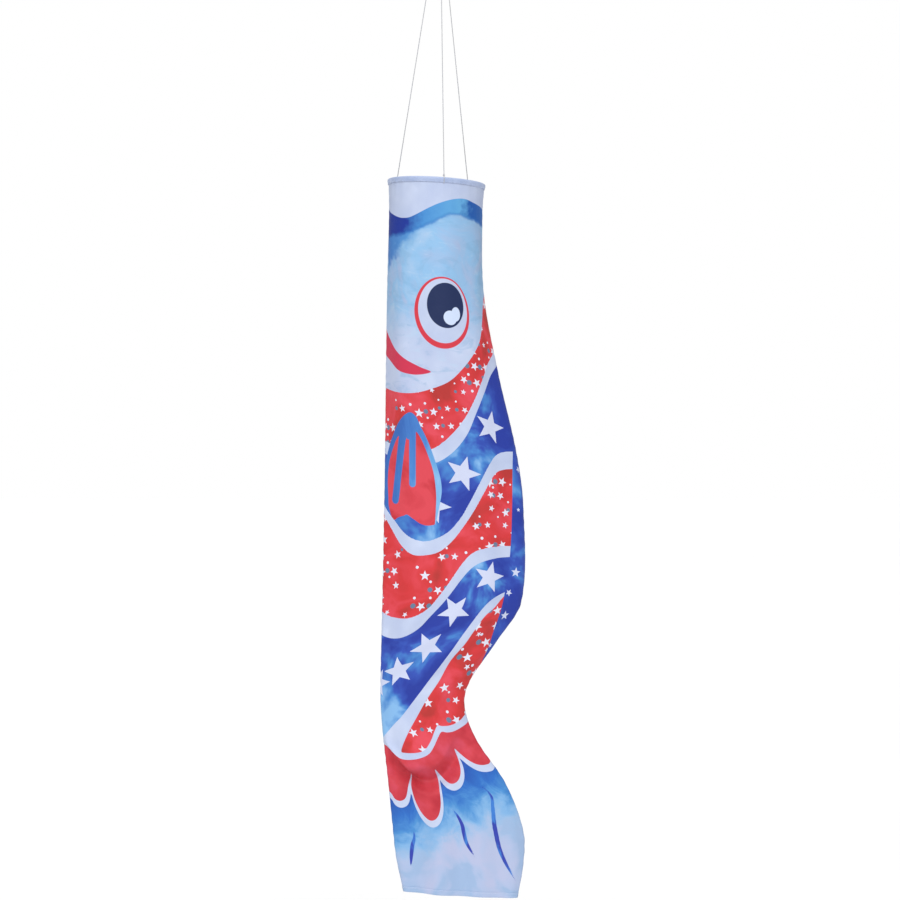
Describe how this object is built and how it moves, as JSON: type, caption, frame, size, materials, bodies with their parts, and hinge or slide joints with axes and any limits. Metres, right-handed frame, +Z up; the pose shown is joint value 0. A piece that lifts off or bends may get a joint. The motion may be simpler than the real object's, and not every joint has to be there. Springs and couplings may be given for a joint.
{
  "type": "carp streamer",
  "caption": "Hollow fabric fish windsock hung by its hooped mouth from a three-line bridle, snap and barrel swivel, open at mouth and tail.",
  "frame": {"origin": "centre of the hole in the hanging eye at the top of the swivel", "axes": "+Z up, +X towards the fish's back, -X towards its belly, -Y out of its left side; the hole in the eye runs along Y"},
  "size_m": [0.31, 0.2097, 2.1971],
  "materials": {
    "plated_metal": "bright nickel plate, lightly brushed",
    "spring_steel": "bare spring wire",
    "bridle_cord": "pale grey braided polyester",
    "casing_fabric": "lavender-blue polyester, folded and stitched",
    "printed_fabric": "thin woven polyester with a printed fish, stars and stripes"
  },
  "bodies": {
    "hanger": {"hanging_eye": "plated_metal"},
    "barrel": {"swivel_barrel": "plated_metal"},
    "swivel_eye": {"swivel_tail": "plated_metal"},
    "snap": {"snap_body": "plated_metal", "gate_pin": "spring_steel", "gate_spring": "spring_steel"},
    "gate": {"snap_gate": "plated_metal"},
    "head": {"crown_loop": "bridle_cord", "crown_whipping": "bridle_cord", "bridle_line_front": "bridle_cord", "bridle_line_back": "bridle_cord", "bridle_line_belly": "bridle_cord", "hitch_front": "bridle_cord", "hitch_back": "bridle_cord", "hitch_belly": "bridle_cord", "hoop_ring": "spring_steel", "hoop_ferrule": "plated_metal", "mouth_casing": "casing_fabric", "left_panel_head": "printed_fabric", "right_panel_head": "printed_fabric", "left_panel_upper_flex": "printed_fabric", "right_panel_upper_flex": "printed_fabric"},
    "middle": {"left_panel_middle": "printed_fabric", "right_panel_middle": "printed_fabric", "left_panel_lower_flex": "printed_fabric", "right_panel_lower_flex": "printed_fabric"},
    "tail": {"left_panel_tail": "printed_fabric", "right_panel_tail": "printed_fabric", "tail_hem": "casing_fabric"}
  },
  "joints": [
    {"name": "swivel_top_spin", "type": "hinge", "parent": "hanger", "child": "barrel", "pos_m": [0, 0, -0.02], "axis": [0, 0, 1], "continuous": true},
    {"name": "swivel_lower_spin", "type": "hinge", "parent": "barrel", "child": "swivel_eye", "pos_m": [0, 0, -0.03], "axis": [0, 0, 1], "continuous": true},
    {"name": "snap_swing", "type": "hinge", "parent": "swivel_eye", "child": "snap", "pos_m": [0, 0, -0.0467], "axis": [1, 0, 0], "range_deg": [-60, 60]},
    {"name": "snap_gate", "type": "hinge", "parent": "snap", "child": "gate", "pos_m": [0, -0.0055, -0.0685], "axis": [1, 0, 0], "range_deg": [-24, 0], "stiffness_Nm_per_rad": 0.02, "springref_deg": 8.59},
    {"name": "bridle_swing", "type": "hinge", "parent": "snap", "child": "head", "pos_m": [0, 0, -0.0775], "axis": [0, 1, 0], "range_deg": [-80, 80]},
    {"name": "body_sway", "type": "hinge", "parent": "head", "child": "middle", "pos_m": [0, 0, -1.2879], "axis": [1, 0, 0], "range_deg": [-30, 30], "deforming": ["left_panel_upper_flex", "right_panel_upper_flex"]},
    {"name": "tail_wag", "type": "hinge", "parent": "middle", "child": "tail", "pos_m": [0, 0, -1.7799], "axis": [1, 0, 0], "range_deg": [-40, 40], "deforming": ["left_panel_lower_flex", "right_panel_lower_flex"]}
  ]
}
